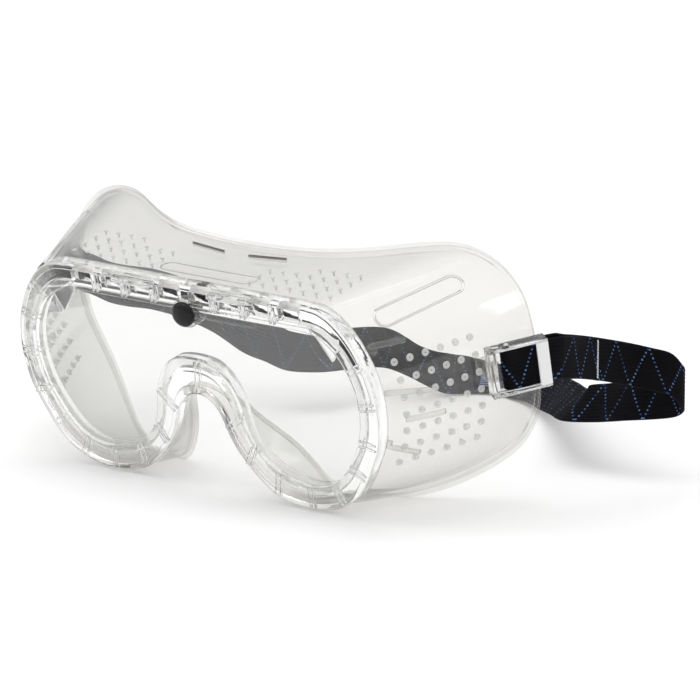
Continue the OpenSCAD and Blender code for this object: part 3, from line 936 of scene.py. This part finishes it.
def bandSection():
    # Points round the band's ribbed cross-section: share of the way across it, and height off its middle
    w, t, ribs, deep = (strapShape[k] for k in ("width", "thickness", "ribs", "ribDeep"))
    section = []
    perRib, edgeRound = 4, 0.5
    count = ribs * perRib
    for face in (1, -1):
        for i in range(count + 1):
            u = i / count if face > 0 else 1 - i / count
            rib = abs(math.sin(math.pi * u * ribs))
            edge = min(u, 1 - u) * w
            full = math.sqrt(max(0, 1 - max(0, 1 - edge / edgeRound) ** 2))
            section.append((u, face * (t / 2 - deep + deep * rib ** 0.6) * (0.35 + 0.65 * full)))
    return section


def elasticObject(name, verts, lengths, matrix):
    # A closed band with one ring of points for each length along it
    section = bandSection()
    obj = makeObject(name, verts, cappedFaces(len(lengths), len(section)), elasticBlack, matrix)
    uv = obj.data.uv_layers.new(name="UVMap")
    for loop in obj.data.loops:
        ring, point = divmod(loop.vertex_index, len(section))
        across = section[point][0] * strapShape["width"]
        uv.data[loop.index].uv = (lengths[ring] * 0.01, across * 0.01)
    return obj


def buildBand(name, first, last, gapOf, patternStart):
    section = bandSection()
    rings = max(2, round((last - first) * strapShape["steps"]))
    verts, lengths, travelled, before = [], [], 0, None
    for i in range(rings + 1):
        at = first + (last - first) * i / rings
        low, up, out = strapFrame(at)
        middle = low + up * strapShape["width"] / 2
        if before is not None:
            travelled += (middle - before).length
        before = middle
        lengths.append(patternStart + travelled)
        for u, h in section:
            verts.append(low + up * (u * strapShape["width"]) + out * (h + gapOf(at)))
    return elasticObject(name, verts, lengths, toFrameFlat), travelled


def buildLoop(side):
    # The fold round the buckle's cross bar: in under it, half a turn, and out over it
    b = buckleShape
    inner, bend, straight, turns = b["layer"], b["crossAt"], 14, 16
    path, normals = [], []
    for i in range(straight):
        path.append((b["loop"] - (b["loop"] - bend) * i / straight, -inner))
        normals.append((0, -1))
    for i in range(turns + 1):
        a = -math.pi / 2 - math.pi * i / turns
        path.append((bend + inner * math.cos(a), inner * math.sin(a)))
        normals.append((math.cos(a), math.sin(a)))
    for i in range(1, straight + 1):
        path.append((bend + (b["loop"] - bend) * i / straight, inner))
        normals.append((0, 1))
    verts, lengths, travelled = [], [], 0
    for i, (p, way) in enumerate(zip(path, normals)):
        if i:
            travelled += math.dist(p, path[i - 1])
        lengths.append(travelled)
        for u, h in bandSection():
            verts.append((p[0] + way[0] * h, p[1] + way[1] * h, (u - 0.5) * strapShape["width"]))
    name = "strapLoopLeft" if side > 0 else "strapLoopRight"
    return elasticObject(name, verts, lengths, toFrame @ atBuckle(side))


tack = {"back": 0.11, "rows": 2, "pitch": 0.34, "stitches": 14, "wire": 0.11, "inset": 0.7,
        "wiggle": 0.16, "low": -0.04, "lift": 0.13}


def buildTack(side):
    # A dense row of stitches across the folded end
    at = strapShape["leftFold"] - tack["back"]
    if side < 0:
        at = lastPoint - strapShape["rightFold"] + tack["back"]
    low, up, out = strapFrame(at)
    way = up.cross(out).normalized()
    face = foldGap(at) + strapShape["thickness"] / 2
    reach = strapShape["width"] - 2 * tack["inset"]
    parts = []
    for row in range(tack["rows"]):
        shift = (row - (tack["rows"] - 1) / 2) * tack["pitch"]
        count = tack["stitches"] * 4
        path = []
        for i in range(count + 1):
            t = i / count
            wiggle = tack["wiggle"] * math.sin(2 * math.pi * t * tack["stitches"] + row)
            lift = tack["low"] + tack["lift"] * abs(math.sin(math.pi * t * tack["stitches"]))
            p = low + up * (tack["inset"] + reach * t) + way * (shift + wiggle) + out * (face + lift)
            path.append((p, out))
        tube = tubeAlong(path, tack["wire"] * 2, tack["wire"], 6, False)
        parts.append(makeObject("tackRow", *tube, threadWhite, toFrameFlat))
    obj = joined(parts)
    obj.name = "barTackLeft" if side > 0 else "barTackRight"
    return obj


ladder = {"at": 19.35, "low": 2.6, "bars": 7, "pitch": 0.85, "length": 2.6, "steps": 6, "wide": 0.5,
          "high": 0.2, "off": 0.1, "arch": 0.06}


def buildLadder():
    # A small patch of light bars sewn on both faces of the band, where it lies on the table
    low, up, out = strapFrame(ladder["at"])
    way = up.cross(out).normalized()
    parts = []
    for face in (1, -1):
        for k in range(ladder["bars"]):
            middle = low + up * (ladder["low"] + ladder["pitch"] * k)
            path = []
            for i in range(ladder["steps"] + 1):
                t = i / ladder["steps"]
                height = strapShape["thickness"] / 2 + ladder["off"] + ladder["arch"] * math.sin(math.pi * t)
                p = middle + way * ladder["length"] * (t - 0.5) + out * face * height
                path.append((p, out * face))
            tube = tubeAlong(path, ladder["wide"], ladder["high"], 8, False)
            parts.append(makeObject("bar", *tube, threadBlue, toFrameFlat))
    obj = joined(parts)
    obj.name = "ladderTack"
    return obj


skirt, topVents, sideVents = buildSkirt()
rings = buildVentRings(topVents, sideVents)
rings.name = "ventRings"
marks = buildSideMarks()
marks.name = "skirtMarks"
print("skirt made")

rim = buildRim()
rim.name = "frontRim"
lens = buildLens()
lens.name = "lens"
stud = buildStud()
print("rim, lens and stud made")

lugs = joined([buildLug(1), buildLug(-1)])
lugs.name = "buckleLugs"

for obj, node in ((skirt, "face_skirt"), (rings, None), (marks, None), (lugs, None), (rim, "front_rim"),
                  (lens, "lens")):
    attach(obj, "goggles")
    if node:
        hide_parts(node)
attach(stud, "stud")
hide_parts("lens_stud")

into, seam, starts = strapShape["into"], strapShape["seam"], strapShape["foldStarts"]
leftBand, leftLength = buildBand("strapLeft", -into, seam, lambda at: 0, 0)
leftEnd, leftExtra = buildBand("leftFold", -into, strapShape["leftFold"], foldGap, starts[0])
rightBand, rightLength = buildBand("strapRight", seam, lastPoint + into, lambda at: 0, leftLength)
rightEnd, rightExtra = buildBand("rightFold", lastPoint - strapShape["rightFold"], lastPoint + into,
                                 foldGap, starts[1])
leftBand = joined([leftBand, leftEnd])
rightBand = joined([rightBand, rightEnd])
ladderTack = buildLadder()
print("strap made, free length", round(leftLength + rightLength), "mm")

# Each buckle and its strap loop ride the buckle's body; the band and its stitches are set where they lie
for side, band in ((1, leftBand), (-1, rightBand)):
    body = "buckle_left" if side > 0 else "buckle_right"
    word = "left" if side > 0 else "right"
    buckle = buildBuckle(side)
    loop = buildLoop(side)
    stitches = buildTack(side)
    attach(buckle, body)
    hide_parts(body)
    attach(loop, body)
    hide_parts("strap_loop_" + word)
    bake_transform(band)
    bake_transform(stitches)
    nodes = ["strap_left", "strap_end_left", "strap_back"] if side > 0 else ["strap_right", "strap_end_right"]
    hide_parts(*nodes)
    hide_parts("bar_tack_" + word)
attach(ladderTack, "goggles")
print("buckles made")

# Each lamp: name, place, size and power
stage = {"floor": 4.0, "eye": (1.0353, -1.2584, 0.4491), "azimuth": 38, "elevation": 14, "lens": 293.1,
         "aim": (0, 0, 0.03), "sky": ((0.0, 0.42), (0.75, 1.0)), "skyPower": 1.02,
         "lamps": (("topLight", (-0.3, -0.2, 1.6), 1.2, 6.8),
                   ("leftLight", (-1.5, -1.0, 1.0), 0.8, 2.6),
                   ("rightLight", (1.5, 0.4, 0.9), 0.6, 2.6))}


def buildStage():
    n = Nodes("floorPale")
    colour = n.ramp(n.noise(3, 2), [(0.3, grey(0.94)), (0.7, grey(0.96))])
    paper = n.finish(n.add("BsdfPrincipled", {
        "Base Color": colour, "Roughness": 0.85, "Specular IOR Level": 0.2}).outputs[0])
    half = stage["floor"]
    floor = makeObject("floor", [(-half, -half, 0), (half, -half, 0), (half, half, 0), (-half, half, 0)],
                       [(0, 1, 2, 3)], paper, Matrix.Identity(4), False)
    for name, place, size, power in stage["lamps"]:
        lamp = bpy.data.lights.new(name, "AREA")
        lamp.size = size
        lamp.energy = power
        obj = inScene(name, lamp)
        obj.location = place
        obj.rotation_euler = (Vector(stage["aim"]) - Vector(place)).to_track_quat("-Z", "Y").to_euler()
    world = bpy.data.worlds.new("studio")
    world.use_nodes = True
    tree = world.node_tree
    sky = tree.nodes["Background"]
    kinds = ("TexCoord", "SeparateXYZ", "ValToRGB")
    where, split, ramp = (tree.nodes.new("ShaderNode" + kind) for kind in kinds)
    tree.links.new(where.outputs["Generated"], split.inputs[0])
    tree.links.new(split.outputs["Z"], ramp.inputs[0])
    for stop, (height, light) in zip(ramp.color_ramp.elements, stage["sky"]):
        stop.position, stop.color = height, grey(light)
    tree.links.new(ramp.outputs[0], sky.inputs["Color"])
    sky.inputs["Strength"].default_value = stage["skyPower"]
    bpy.context.scene.world = world
    cam = bpy.data.cameras.new("camera")
    cam.lens = stage["lens"]
    cam.sensor_width = 36
    cam.clip_start, cam.clip_end = 0.05, 20
    eye = inScene("camera", cam)
    eye.location = Vector(stage["eye"]) - Vector((*placing["centre"], 0)) * 0.001
    a, e = math.radians(stage["azimuth"]), math.radians(stage["elevation"])
    back = Vector((math.sin(a) * math.cos(e), -math.cos(a) * math.cos(e), math.sin(e)))
    eye.rotation_euler = (-back).to_track_quat("-Z", "Y").to_euler()
    bpy.context.scene.camera = eye
    scene = bpy.context.scene
    scene.view_settings.view_transform = "Standard"
    scene.cycles.max_bounces = 24
    scene.cycles.transmission_bounces = 24
    scene.cycles.glossy_bounces = 8
    scene.cycles.transparent_max_bounces = 40


buildStage()
